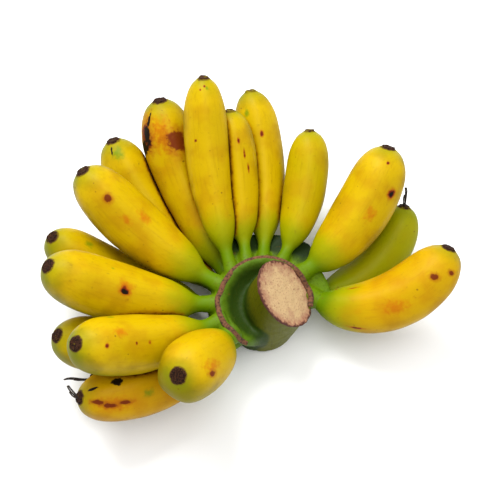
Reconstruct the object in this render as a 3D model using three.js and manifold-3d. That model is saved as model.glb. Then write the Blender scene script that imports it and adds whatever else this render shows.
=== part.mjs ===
// A hand of small, plump bananas on its crown, lying on a table with the cut stem up.
// Millimetres, +Z up. Each fruit is one solid. The crown, the stub of stem on it and the
// roots of the fruits' stalks grew as one piece and are one solid.
import * as THREE from "three";
import { mergeVertices } from "three/addons/utils/BufferGeometryUtils.js";
import Module from "manifold-3d";

const wasm = await Module();
wasm.setup();

const { degToRad } = THREE.MathUtils;
const UP = new THREE.Vector3(0, 0, 1);

// ---------- driving dimensions ----------
const SEAM_GAP = 0.3; // between a stalk's root on the crown and the fruit that grows from it
const CONTACT_GAP = 0.8; // left between two fruits that press against each other
const SEAM_RADIUS = 35; // where the roots end and the fruits begin, from the crown's axis
const SECTION_SIDES = 15; // three to each of a fruit's five faces
const COLLAR_SIDES = 32;
const RIDGE = 0.03; // how far the five ridges stand out, as a share of the radius
const ROOT_LENGTH = 12;
const ROOT_FLARE = 1.4; // how much wider a root is where it leaves the crown
const ROOT_SHOULDER = 1.1; // and a third of the way in

// The cushion that the stalks grow from. It is turned, then tilted up at the back, and its rim
// is open towards one heading, where no fruit grows. Its outlines are [height, radius].
const COLLAR = { height: 48, forward: 1, tilt: 10, openTowards: -58, openFrom: 17 };
const COLLAR_OUTLINE = [
  [-40, 12],
  [-33, 20],
  [-20, 26],
  [-8, 29],
  [0, 29.5],
  [3, 28.5],
];
// What is hollowed out of the cushion and the roots, and leaves the rim and the valley inside it.
const VALLEY_OUTLINE = [
  [-5, 17],
  [-3, 20.5],
  [0, 24],
  [1.8, 26.5],
  [1.6, 28.4],
  [30, 30],
];
// The stub of the bunch's stem, which leans towards +X, and the slanting cut across its top.
// Angles are in degrees from upright and from level.
const STEM = { radius: 20, flare: 21, height: 80, lean: 14, foot: [-2, 1, 4] };
const CUT = { angle: 50, at: 12, height: 59 };
const STEM_CLEARANCE = 6.6; // the stem ends this high, so that the hand rests on its fruits
const BLOCK = 120; // wider than anything that it cuts

// The outline of a fruit's body: [share of its length past the neck, share of its half width].
const BODY_OUTLINE = [
  [0.0, 0.31],
  [0.04, 0.43],
  [0.09, 0.58],
  [0.15, 0.71],
  [0.23, 0.82],
  [0.33, 0.91],
  [0.45, 0.98],
  [0.57, 1.0],
  [0.68, 0.985],
  [0.78, 0.94],
  [0.865, 0.84],
  [0.925, 0.69],
  [0.965, 0.51],
  [0.985, 0.34],
  [1.0, 0.22],
];
const STALK_GIRTH = 0.31; // of the stalk at the seam, as a share of the half width
const FULLNESS = 1.03; // how deep a fruit is, as a share of its width

// ---------- the fruits ----------
// at:      where round the crown the stalk is rooted, in degrees from +X towards +Y
// height:  how high the root is above the table
// heading: the way the stalk leaves the crown, and turn: how far the fruit bends sideways
// dip:     the slope at the stalk, and rise: the slope at the tip, in degrees above level
// length, wide: in millimetres, and neck: the share of the length that is bare stalk
// Each row: place in the hand, at, height, heading, turn, dip, rise, length, wide, neck.
const FRUIT_TABLE = [
  ["upper_01", 226, 50, 235, 0, 28, 61, 66, 38, 0.02],
  ["upper_02", 204, 46, 206, -10, 8, 56, 102, 36, 0.08],
  ["upper_03", 180, 44, 182, -10, 4, 54, 112, 37, 0.08],
  ["upper_04", 155, 44, 152, -12, 4, 50, 113, 36, 0.08],
  ["upper_05", 130, 46, 107, -17, 10, 50, 122, 29, 0.08],
  ["upper_06", 110, 42, 97, 0, 2, 47, 98, 29, 0.12],
  ["upper_07", 91, 36, 86, 18, -8, 44, 116, 31, 0.12],
  ["upper_08", 70, 40, 65, 26, 0, 40, 88, 28, 0.1],
  ["upper_09", 42, 42, 34, 40, 2, 44, 99, 37, 0.06],
  ["upper_10", 9, 36, -26, 87, 0, 41, 99, 37, 0.0],
  ["lower_01", 222, 30, 220, -30, -4, 34, 102, 34, 0.08],
  ["lower_02", 208, 18, 206, -8, -4, 30, 86, 30, 0.08],
  ["lower_03", 192, 20, 203, -26, -8, 50, 108, 36, 0.08],
  ["lower_04", 166, 19, 169, -10, -10, 60, 122, 34, 0.08],
  ["lower_05", 146, 19, 138, -20, -8, 50, 127, 36, 0.08],
  ["lower_06", 132, 26, 121, -16, -2, 52, 129, 38, 0.08],
  ["lower_07", 23, 26, 9, 70, -23, 46, 94, 31, 0.05],
];
const FRUITS = FRUIT_TABLE.map(([place, at, height, heading, turn, dip, rise, length, wide, neck]) => {
  return { name: `fruit_${place}`, at, height, heading, turn, dip, rise, length, wide, neck };
});

// The dried ends of flowers that still hang on a few tips: a short, bent, tapering shred.
const FLOWER_RADIUS = 1.3;
const FLOWER_ENDS = [
  { fruit: "fruit_lower_01", heading: 150, turn: -40, dip: 20, rise: 40, length: 9 },
  { fruit: "fruit_lower_02", heading: 175, turn: 20, dip: 10, rise: 20, length: 16 },
  { fruit: "fruit_lower_07", heading: 80, turn: 30, dip: 40, rise: 50, length: 11 },
];

// ---------- materials ----------
function finish(name, color, roughness) {
  return new THREE.MeshStandardMaterial({ name, color, roughness, metalness: 0 });
}
const PEEL = finish("peel", "#dcb90f", 0.45);
const CROWN_SKIN = finish("crown", "#5f8412", 0.5);
const DRIED = finish("dried", "#3a2a1c", 0.9);

// ---------- shared shapes ----------
// A line that something grows along. Its slope and its heading change evenly from end to end.
class GrowthLine {
  constructor({ heading, turn, dip, rise, length }, start) {
    Object.assign(this, { heading, turn, dip, rise, length, start });
  }

  direction(share) {
    const azimuth = degToRad(this.heading + this.turn * share);
    const slope = degToRad(this.dip + (this.rise - this.dip) * share);
    const level = Math.cos(slope);
    return new THREE.Vector3(level * Math.cos(azimuth), level * Math.sin(azimuth), Math.sin(slope));
  }

  point(share) {
    const steps = 24;
    const end = this.start.clone();
    for (let i = 0; i < steps; i += 1) {
      const middle = ((i + 0.5) / steps) * share;
      end.addScaledVector(this.direction(middle), (this.length * share) / steps);
    }
    return end;
  }

  // The line's own axes at a share of its length, with their foot on the line.
  frame(share) {
    const ahead = this.direction(share);
    const side = ahead.clone().cross(UP).normalize();
    const over = side.clone().cross(ahead);
    return { foot: this.point(share), ahead, side, over };
  }
}

function fruitLine(spec) {
  const angle = degToRad(spec.at);
  const start = new THREE.Vector3(SEAM_RADIUS * Math.cos(angle), SEAM_RADIUS * Math.sin(angle), spec.height);
  return new GrowthLine(spec, start);
}

// A turned blank whose axis is +Y, from an outline of [share of length, radius] points.
function blankOf(outline, sides = SECTION_SIDES) {
  const profile = [
    new THREE.Vector2(0, outline[0][0]),
    ...outline.map(([share, radius]) => new THREE.Vector2(radius, share)),
    new THREE.Vector2(0, outline.at(-1)[0]),
  ];
  return new THREE.LatheGeometry(profile, sides);
}

// Gives a blank five soft ridges where it is thick.
function ridge(blank) {
  const points = blank.attributes.position;
  for (let i = 0; i < points.count; i += 1) {
    const [x, z] = [points.getX(i), points.getZ(i)];
    const thick = THREE.MathUtils.clamp(3 * (Math.hypot(x, z) - 0.4), 0, 1);
    const ridged = 1 + RIDGE * thick * Math.cos(5 * Math.atan2(x, z));
    points.setX(i, x * ridged);
    points.setZ(i, z * ridged);
  }
  return blank;
}

// Bends a blank along a growth line. adjust, if given, may move each point once it is placed.
function bendAlong(blank, line, halfWide, halfDeep, adjust = (place) => place) {
  const points = blank.attributes.position;
  for (let i = 0; i < points.count; i += 1) {
    const { foot, side, over } = line.frame(points.getY(i));
    const place = foot
      .clone()
      .addScaledVector(side, points.getX(i) * halfWide)
      .addScaledVector(over, points.getZ(i) * halfDeep);
    points.setXYZ(i, ...adjust(place, foot));
  }
  return blank;
}

function solidOf(geometry) {
  const bare = geometry.clone();
  bare.deleteAttribute("normal");
  bare.deleteAttribute("uv");
  const merged = mergeVertices(bare, 1e-4);
  const vertProperties = new Float32Array(merged.attributes.position.array);
  const triVerts = new Uint32Array(merged.index.array);
  return new wasm.Manifold(new wasm.Mesh({ numProp: 3, vertProperties, triVerts }));
}

function meshOf(name, solid, material) {
  const { vertProperties, triVerts } = solid.getMesh();
  const geometry = new THREE.BufferGeometry();
  geometry.setAttribute("position", new THREE.BufferAttribute(vertProperties, 3));
  geometry.setIndex(new THREE.BufferAttribute(triVerts, 1));
  geometry.computeVertexNormals();
  const mesh = new THREE.Mesh(geometry, material);
  mesh.name = name;
  return mesh;
}

// ---------- fruits ----------
// A fruit as it would grow alone: a row of oval slices along its line.
class FreeForm {
  constructor(spec) {
    this.name = spec.name;
    this.halfWide = spec.wide / 2;
    this.halfDeep = this.halfWide * FULLNESS;
    this.line = fruitLine(spec);
    const body = BODY_OUTLINE.map(([share, girth]) => [spec.neck + (1 - spec.neck) * share, girth]);
    this.outline = [[0, STALK_GIRTH], ...body.filter(([share]) => share > 0)];
    this.slices = [];
    for (let i = 1; i < this.outline.length; i += 1) {
      const [[fromShare, fromGirth], [toShare, toGirth]] = [this.outline[i - 1], this.outline[i]];
      for (const part of [0, 1 / 3, 2 / 3]) {
        const share = THREE.MathUtils.lerp(fromShare, toShare, part);
        const girth = THREE.MathUtils.lerp(fromGirth, toGirth, part);
        this.slices.push({ ...this.line.frame(share), girth });
      }
    }
  }

  // How far inside the fruit a point lies, in millimetres; less than zero is outside.
  depth(point) {
    const radius = (this.halfWide + this.halfDeep) / 2;
    let deepest = -Infinity;
    for (const { foot, ahead, side, over, girth } of this.slices) {
      const away = point.clone().sub(foot);
      const reach = Math.hypot(
        away.dot(side) / this.halfWide,
        away.dot(over) / this.halfDeep,
        away.dot(ahead) / radius,
      );
      deepest = Math.max(deepest, radius * (girth - reach));
    }
    return deepest;
  }
}

const forms = FRUITS.map((spec) => new FreeForm(spec));

// Where two fruits want the same room, both give way: a point of one moves towards its own
// middle until it is deeper in its own fruit than in any other.
function giveWay(own) {
  const neighbours = forms.filter((form) => form !== own);
  const isClear = (point) => {
    const needed = own.depth(point) - CONTACT_GAP;
    return neighbours.every((form) => form.depth(point) <= needed);
  };
  return (place, foot) => {
    if (isClear(place)) {
      return place;
    }
    let [blocked, clear] = [0, 1];
    for (let i = 0; i < 10; i += 1) {
      const middle = (blocked + clear) / 2;
      [blocked, clear] = isClear(place.clone().lerp(foot, middle)) ? [blocked, middle] : [middle, clear];
    }
    return place.clone().lerp(foot, clear);
  };
}

function fruit(form) {
  const firstShare = SEAM_GAP / form.line.length;
  const outline = form.outline.map(([share, girth]) => [Math.max(share, firstShare), girth]);
  const blank = ridge(blankOf(outline));
  const bent = bendAlong(blank, form.line, form.halfWide, form.halfDeep, giveWay(form));
  const mesh = new THREE.Mesh(bent, PEEL);
  mesh.name = form.name;
  return mesh;
}

function flowerEnd(spec) {
  const { line } = forms.find((form) => form.name === spec.fruit);
  const start = line.point(1).addScaledVector(line.direction(1), SEAM_GAP + FLOWER_RADIUS);
  const outline = [
    [0, 1],
    [0.6, 0.7],
    [1, 0.4],
  ];
  const bent = bendAlong(blankOf(outline), new GrowthLine(spec, start), FLOWER_RADIUS, FLOWER_RADIUS);
  const mesh = new THREE.Mesh(bent, DRIED);
  mesh.name = spec.fruit.replace("fruit", "dried_flower");
  return mesh;
}

// ---------- crown ----------
// The stalk's root: a straight cone that widens back into the crown.
function root(form) {
  const radius = form.halfWide * STALK_GIRTH;
  const cone = blankOf([
    [-ROOT_LENGTH, radius * ROOT_FLARE],
    [-ROOT_LENGTH / 3, radius * ROOT_SHOULDER],
    [0, radius],
  ]);
  const blankAxis = new THREE.Vector3(0, 1, 0);
  const turn = new THREE.Quaternion().setFromUnitVectors(blankAxis, form.line.direction(0));
  cone.applyQuaternion(turn);
  cone.translate(...form.line.start);
  return solidOf(cone);
}

// A shape turned round the cushion's own tilted axis.
function turnedOnCollar(outline) {
  const turned = blankOf(outline, COLLAR_SIDES);
  turned.rotateX(Math.PI / 2 + degToRad(COLLAR.tilt));
  turned.translate(0, -COLLAR.forward, COLLAR.height);
  return solidOf(turned);
}

function collar() {
  const opening = new THREE.BoxGeometry(BLOCK, BLOCK, BLOCK);
  opening.translate(COLLAR.openFrom + BLOCK / 2, 0, 0);
  opening.rotateZ(degToRad(COLLAR.openTowards));
  return turnedOnCollar(COLLAR_OUTLINE).subtract(solidOf(opening));
}

// The stub of the bunch's stem, cut off square below and at a slant above, and what was cut off.
function stem() {
  const post = new THREE.CylinderGeometry(STEM.radius, STEM.flare, STEM.height, 2 * COLLAR_SIDES);
  post.rotateX(Math.PI / 2);
  post.translate(0, 0, STEM.height / 2);
  post.rotateY(degToRad(STEM.lean));
  post.translate(...STEM.foot);
  const knife = new THREE.BoxGeometry(BLOCK, BLOCK, BLOCK);
  knife.translate(0, 0, BLOCK / 2);
  knife.rotateY(degToRad(CUT.angle));
  knife.translate(CUT.at, 0, CUT.height);
  const below = new THREE.BoxGeometry(BLOCK, BLOCK, BLOCK);
  below.translate(0, 0, STEM_CLEARANCE - BLOCK / 2);
  const whole = solidOf(post);
  return {
    stub: whole.subtract(solidOf(knife)).subtract(solidOf(below)),
    offcut: whole.intersect(solidOf(knife)),
  };
}

function crown() {
  const { stub, offcut } = stem();
  const cushion = forms.reduce((body, form) => body.add(root(form)), collar());
  const hollowed = cushion.subtract(turnedOnCollar(VALLEY_OUTLINE)).subtract(offcut);
  return meshOf("crown", hollowed.add(stub), CROWN_SKIN);
}

// ---------- assembly ----------
const hand = new THREE.Group();
hand.add(crown(), ...forms.map(fruit), ...FLOWER_ENDS.map(flowerEnd));

// The hand stands on z = 0 with the middle of its footprint at the origin.
const box = new THREE.Box3().setFromObject(hand);
const middle = box.getCenter(new THREE.Vector3());
hand.position.set(-middle.x, -middle.y, -box.min.z);

const bananaHand = new THREE.Group();
bananaHand.add(hand);

export default bananaHand;
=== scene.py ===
# %% Load the frame
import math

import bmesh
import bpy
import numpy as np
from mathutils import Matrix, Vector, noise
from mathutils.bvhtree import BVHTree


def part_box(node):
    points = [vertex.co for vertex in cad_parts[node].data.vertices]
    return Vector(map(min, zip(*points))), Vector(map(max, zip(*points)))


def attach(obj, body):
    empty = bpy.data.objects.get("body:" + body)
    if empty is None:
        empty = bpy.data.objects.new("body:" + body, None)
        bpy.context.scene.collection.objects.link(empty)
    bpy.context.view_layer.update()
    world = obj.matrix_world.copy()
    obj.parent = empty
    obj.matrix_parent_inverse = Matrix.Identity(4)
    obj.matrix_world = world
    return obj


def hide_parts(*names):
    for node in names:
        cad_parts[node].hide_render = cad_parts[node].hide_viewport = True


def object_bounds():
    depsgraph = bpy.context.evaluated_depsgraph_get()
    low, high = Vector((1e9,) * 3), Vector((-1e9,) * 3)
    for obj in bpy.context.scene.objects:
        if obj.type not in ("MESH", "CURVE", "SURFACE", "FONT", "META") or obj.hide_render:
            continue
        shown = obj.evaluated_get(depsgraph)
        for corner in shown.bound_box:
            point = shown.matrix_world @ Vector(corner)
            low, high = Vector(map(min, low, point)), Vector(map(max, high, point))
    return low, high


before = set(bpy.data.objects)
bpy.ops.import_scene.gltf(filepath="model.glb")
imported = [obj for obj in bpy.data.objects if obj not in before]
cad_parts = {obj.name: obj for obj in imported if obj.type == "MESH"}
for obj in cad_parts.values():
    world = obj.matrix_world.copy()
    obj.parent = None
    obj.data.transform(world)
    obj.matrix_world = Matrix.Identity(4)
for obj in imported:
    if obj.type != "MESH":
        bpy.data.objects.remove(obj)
cad_low, cad_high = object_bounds()

# %% [markdown]
# # A hand of small, plump bananas
#
# On the real plant a hand is one row, or two close rows, of fruits that all grow from one
# cushion of green tissue, the crown. This hand was cut off with a stub of the bunch's stem.
# The frame holds a plain solid for each fruit and one for the crown, all in metres. Here each
# plain solid gets a fine skin of the same size, and each skin gets its finish.
#
# Everything is measured from the frame: which way a fruit grows, how thick it is and where it
# touches its neighbours. So the looks follow the construction if that changes.

MM = 0.001
CROWN = "crown"
FRUITS = sorted(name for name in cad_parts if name.startswith("fruit"))
FLOWERS = sorted(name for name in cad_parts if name.startswith("dried_flower"))
CAD_MIDDLE = (cad_low + cad_high) / 2
print(f"frame: {len(FRUITS)} fruits, {len(FLOWERS)} dried flowers, and the crown")
print("size in mm:", [round(side / MM) for side in cad_high - cad_low])

# %% [markdown]
# ## A few small helpers
#
# Colours are given as sRGB hex values, but Blender's sockets want linear light, so one
# function turns them. Another adds a node, sets its values and plugs in its links in one call,
# which keeps each material readable as a list of steps. The rest make an object from points and
# faces, and store on each point what a material will want to know there.

# %% Colour and node helpers
def linear(hex_colour):
    """An sRGB hex colour as linear red, green, blue and a full alpha."""
    channels = [int(hex_colour[i : i + 2], 16) / 255 for i in (1, 3, 5)]
    turned = [c / 12.92 if c <= 0.04045 else ((c + 0.055) / 1.055) ** 2.4 for c in channels]
    return (*turned, 1.0)


MATH, NOISE, ATTRIBUTE = "ShaderNodeMath", "ShaderNodeTexNoise", "ShaderNodeAttribute"
RANGE = "ShaderNodeMapRange"
TIMES, MINUS = {"operation": "MULTIPLY"}, {"operation": "SUBTRACT"}
TIMES_PLUS = {"operation": "MULTIPLY_ADD"}  # i0 times i1, plus i2


def add_node(tree, kind, settings=None, **inputs):
    """Adds a node. settings are its own properties, and inputs are values, sockets or nodes.

    A node given as an input stands for its first output.
    """
    node = tree.nodes.new(kind)
    for name, value in (settings or {}).items():
        setattr(node, name, value)
    for name, value in inputs.items():
        key = int(name[1:]) if name[0] == "i" and name[1:].isdigit() else name.replace("_", " ")
        socket = node.inputs[key]
        if isinstance(value, bpy.types.Node):
            value = value.outputs[0]
        if isinstance(value, bpy.types.NodeSocket):
            tree.links.new(value, socket)
        else:
            socket.default_value = value
    return node


def new_object(name, data):
    """An object in the scene, at the origin, that shows the data given."""
    made = bpy.data.objects.new(name, data)
    bpy.context.scene.collection.objects.link(made)
    return made


def mesh_object(name, vertices, faces):
    """A smooth-shaded object from arrays of points and faces."""
    mesh = bpy.data.meshes.new(name)
    mesh.from_pydata([tuple(v) for v in vertices], [], [tuple(f) for f in faces])
    mesh.update()
    mesh.shade_smooth()
    return new_object(name, mesh)


def store(mesh, name, values):
    """Stores one number or one vector for each point of a mesh."""
    values = np.asarray(values, np.float32)
    kind, key = ("FLOAT_VECTOR", "vector") if values.ndim == 2 else ("FLOAT", "value")
    mesh.attributes.new(name, kind, "POINT").data.foreach_set(key, values.ravel())


def smoothstep(low, high, value):
    """0 up to low, 1 from high on, and a soft slope between. It runs down if high is below low."""
    share = np.clip((value - low) / (high - low), 0, 1)
    return share * share * (3 - 2 * share)


# %% [markdown]
# ## Reading a fruit's rings from the frame
#
# A banana is a bent spindle. Its plain solid is a stack of rings of points between two end
# points, one at the stalk and one at the tip. Walking outwards from the stalk's end point, each
# step along the mesh's edges reaches the next ring. Ordering every ring the same way, starting
# at its top, gives a grid: rows run round the fruit and columns run along it.

# %% Rings of a fruit
UP = np.array((0.0, 0.0, 1.0))


def unit(vector):
    return vector / np.linalg.norm(vector)


def merged_copy(node_name):
    """The node's mesh with its loose triangles joined up."""
    joined = bmesh.new()
    joined.from_mesh(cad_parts[node_name].data)
    bmesh.ops.remove_doubles(joined, verts=joined.verts, dist=0.001 * MM)
    return joined


def rings_of(node_name):
    """(grid of ring points, end at the tip) of a fruit's plain solid."""
    solid = merged_copy(node_name)
    crown_middle = sum(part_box(CROWN), Vector()) / 2
    ends = sorted(solid.verts, key=lambda v: len(v.link_edges))[-2:]
    ends.sort(key=lambda v: (v.co - crown_middle).length)
    seen, level, levels = {ends[0]}, [ends[0]], []
    while level:
        levels.append(level)
        reached = {e.other_vert(v) for v in level for e in v.link_edges}
        level = [v for v in reached if v not in seen]
        seen.update(level)
    rings = [np.array([v.co for v in ring]) for ring in levels[1:-1]]
    centres = np.array([ring.mean(0) for ring in rings])
    ahead = np.gradient(centres, axis=0)
    ordered = []
    for ring, centre, way in zip(rings, centres, ahead):
        side = unit(np.cross(way, UP))
        over = unit(np.cross(side, way))
        spokes = ring - centre
        angles = np.arctan2(spokes @ side, spokes @ over) % (2 * np.pi)
        angles[angles > 2 * np.pi - 0.1] -= 2 * np.pi
        ordered.append(ring[np.argsort(angles)])
    tip = np.array(ends[1].co)
    solid.free()
    return np.array(ordered), tip


rings, tips = {}, {}
for name in FRUITS:
    rings[name], tips[name] = rings_of(name)
print("rings and points round:", {name: grid.shape[:2] for name, grid in rings.items()})

# %% [markdown]
# ## From rings to a fine skin
#
# The plain solid has fifteen points round and about sixteen rings, which shows as flat facets.
# A subdivision surface would round it, but it would also shrink it, and it would leave no
# handle on where along the fruit a point is. So a smooth curve is passed through each ring and
# then along the fruit, which keeps the size and gives every point two numbers: its angle round
# the fruit, from the top, and its share of the way from stalk to tip.

# %% A smooth curve through given values
def spline(knots, values, at, period=None):
    """Values at places on a cubic spline through the knots, closed if it has a period."""
    values = values.reshape(len(knots), -1)
    count = len(knots)
    if period:
        knots, values = np.append(knots, knots[0] + period), np.vstack((values, values[:1]))
    steps = np.diff(knots)
    slopes = np.diff(values, axis=0) / steps[:, None]
    system, bends = np.eye(count), np.zeros((count, values.shape[1]))
    for i in range(count) if period else range(1, count - 1):
        before, after = steps[i - 1], steps[i]
        system[i, i] = 2 * (before + after)
        system[i, i - 1] += before
        system[i, (i + 1) % count] += after
        bends[i] = 6 * (slopes[i] - slopes[i - 1])
    bends = np.linalg.solve(system, bends)
    if period:
        bends = np.vstack((bends, bends[:1]))
    k = np.clip(np.searchsorted(knots, at, "right") - 1, 0, len(steps) - 1)
    far, near = (((at - knots[k]) / steps[k])[:, None], ((knots[k + 1] - at) / steps[k])[:, None])
    curved = (near**3 - near) * bends[k] + (far**3 - far) * bends[k + 1]
    return near * values[k] + far * values[k + 1] + curved * steps[k][:, None] ** 2 / 6


# %% [markdown]
# The tip of a ripe banana ends in a hard black scab where the flower dropped off, and its
# stalk runs on into the crown. Both ends are a few more rings: the scab turns in over the
# blunt end with a ragged rim, and the stalk reaches a little way into the crown, so that no
# gap shows where the two pieces meet.

# %% The skin of one fruit
AROUND, ALONG = 90, 130  # points round a fruit, and rows along it
LUMP_HEIGHT, LUMP_SIZE = 0.25 * MM, 14 * MM
STALK_STEADY = 0.1  # the share of a fruit, from the stalk, over which its lumps fade in
# The stalk's rings inside the crown: share of the first ring's radius, and mm into the crown.
TUCK_RINGS = ((0.88, 3.0), (0.96, 1.2))
# The scab's rings: share of the last ring's radius, and mm out from the tip.
SCAB_RINGS = ((0.99, 0.12), (0.95, 0.4), (0.84, 0.62), (0.66, 0.5), (0.42, 0.25), (0.2, 0.4))
SCAB_HEART = 0.6  # how far out the scab's middle stands, in mm
SCAB_SPREAD = 2.2 * MM  # how far the dead skin of the scab reaches up the fruit
SCAB_SWAY, SCAB_CRUST = 0.16, 0.35  # how ragged its rim is, as a share and in mm
SCAB_GRAIN = 2.5 * MM
FAINT_SCABS = {"upper_05": 0.8, "upper_06": 0.6, "upper_07": 0.5, "upper_08": 0.6}


def place_of(name):
    """A fruit's place in the hand, such as upper_05."""
    return name.removeprefix("fruit_")


def noise_at(points, size, offset=0.0):
    """Smooth noise from -1 to 1 whose lumps have a size in metres."""
    shift = Vector((offset, offset / 3, -offset))
    return np.array([noise.noise(Vector(p) / size + shift) for p in points])


def row_normals(rows):
    """The outward direction at each point of a grid of rows."""
    round_way = np.roll(rows, -1, 1) - np.roll(rows, 1, 1)
    normals = np.cross(round_way, np.gradient(rows, axis=0))
    return normals / np.maximum(np.linalg.norm(normals, axis=2, keepdims=True), 1e-12)


def fine_rows(name):
    """The fruit's surface from its seam to its tip, as rows of points, with the rows' lengths."""
    ring_grid = rings[name]
    coarse = np.arange(ring_grid.shape[1]) * 2 * np.pi / ring_grid.shape[1]
    fine = np.arange(AROUND) * 2 * np.pi / AROUND
    rows = np.array([spline(coarse, ring, fine, 2 * np.pi) for ring in ring_grid])
    steps = np.linalg.norm(np.diff(rows, axis=0), axis=2).mean(1)
    lengths = np.concatenate(((0,), np.cumsum(steps)))
    at = np.linspace(0, lengths[-1], ALONG)
    rows = spline(lengths, rows, at).reshape(ALONG, AROUND, 3)
    for _ in range(3):
        rows[1:-1] = (rows[:-2] + 2 * rows[1:-1] + rows[2:]) / 4
        rows = (np.roll(rows, 1, 1) + 2 * rows + np.roll(rows, -1, 1)) / 4
    seed = FRUITS.index(name) * 7.3
    lumps = noise_at(rows.reshape(-1, 3), LUMP_SIZE, seed).reshape(ALONG, AROUND, 1)
    fade = smoothstep(0, STALK_STEADY, at / lengths[-1])[:, None, None]
    return rows + row_normals(rows) * lumps * fade * LUMP_HEIGHT, at


def fruit_skin(name):
    """(skin, what its points know) of one fruit: tucked stalk, body and scab in one closed mesh."""
    rows, at = fine_rows(name)
    first, last = rows[0].mean(0), rows[-1].mean(0)
    way_in, way_out = unit(first - rows[4].mean(0)), unit(last - rows[-5].mean(0))
    tuck = [first + (rows[0] - first) * share + way_in * deep * MM for share, deep in TUCK_RINGS]
    ragged = noise_at(rows[-1], SCAB_GRAIN, FRUITS.index(name))[:, None]
    scab = []
    for share, out in SCAB_RINGS:
        spokes = (rows[-1] - last) * share * (1 + SCAB_SWAY * ragged)
        crust = SCAB_CRUST * ragged * (share > 0.6)
        scab.append(last + spokes + way_out * (out + crust) * MM)
    grid = np.array([*tuck, *rows, *scab])
    share = np.concatenate((np.zeros(len(TUCK_RINGS)), at / at[-1], np.ones(len(SCAB_RINGS))))
    before = [-deep * MM for _, deep in TUCK_RINGS]
    beyond = at[-1] + np.arange(1, len(SCAB_RINGS) + 1) * MM
    length = np.concatenate((before, at, beyond))
    points = np.vstack((grid.reshape(-1, 3), grid[0].mean(0), last + way_out * SCAB_HEART * MM))
    start_pole, end_pole = len(points) - 2, len(points) - 1
    faces = []
    for i in range(len(grid)):
        for j in range(AROUND):
            a, b = i * AROUND + j, i * AROUND + (j + 1) % AROUND
            if i == 0:
                faces.append((start_pole, b, a))
            if i < len(grid) - 1:
                faces.append((a, b, b + AROUND, a + AROUND))
            else:
                faces.append((a, b, end_pole))
    skin = mesh_object(name + "_skin", points, faces)
    angle = np.tile(np.arange(AROUND) * 2 * np.pi / AROUND, len(grid))
    radius = np.linalg.norm(grid - grid.mean(1, keepdims=True), axis=2).mean(1)
    from_tip = at[-1] - length
    on_scab = 1 - smoothstep(0, SCAB_SPREAD, from_tip)

    def per_row(values, ends):
        return np.concatenate((np.repeat(values, AROUND), ends))

    facts = {
        "share": per_row(share, (0, 1)),
        "angle": np.append(angle, (0, 0)),
        "radius": per_row(radius, (0, 0)),
        "length": per_row(length, (length[0], at[-1])),
        "scab": per_row(on_scab, (0, 1)) * FAINT_SCABS.get(place_of(name), 1.0),
    }
    return skin, facts


skins, facts = {}, {}
for name in FRUITS:
    skins[name], facts[name] = fruit_skin(name)
print("faces in each fruit skin:", len(skins[FRUITS[0]].data.polygons))

# %% [markdown]
# ## What the material needs to know
#
# The peel's material has to follow the fruit and not the world: fibres run along it, and green
# fades out from its stalk. So each point stores where it is on the unrolled skin, how near a
# neighbour is, and how far it is from each bruise. A distance fades evenly between points, so
# the material can cut a sharp, ragged edge out of it that is finer than the mesh.

# %% Where neighbours touch
# From how near a neighbour is, the peel paints both rub marks and painted contact shade: orange,
# then dark brown where fruits touch.
RUB_AND_SHADE_REACH = 5 * MM


def search_tree(mesh):
    """A tree that finds the nearest place on a mesh, or where a ray meets it."""
    return BVHTree.FromPolygons([v.co for v in mesh.vertices], [p.vertices for p in mesh.polygons])


def rub_and_contact_shade_of(name):
    """1 where a neighbour touches the fruit, down to 0 at RUB_AND_SHADE_REACH away."""
    others = [skin_trees[other] for other in FRUITS if other != name]
    rub_and_contact_shade = []
    for vertex in skins[name].data.vertices:
        nearest = RUB_AND_SHADE_REACH
        for tree in others:
            distance = tree.find_nearest(vertex.co, nearest)[3]
            nearest = nearest if distance is None else distance
        rub_and_contact_shade.append(1 - nearest / RUB_AND_SHADE_REACH)
    return np.array(rub_and_contact_shade)


skin_trees = {name: search_tree(skin.data) for name, skin in skins.items()}
rubs_and_contact_shades = {name: rub_and_contact_shade_of(name) for name in FRUITS}
print("points near a neighbour:", sum(int((rub_and_contact_shade > 0).sum()) for rub_and_contact_shade in rubs_and_contact_shades.values()))
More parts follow.
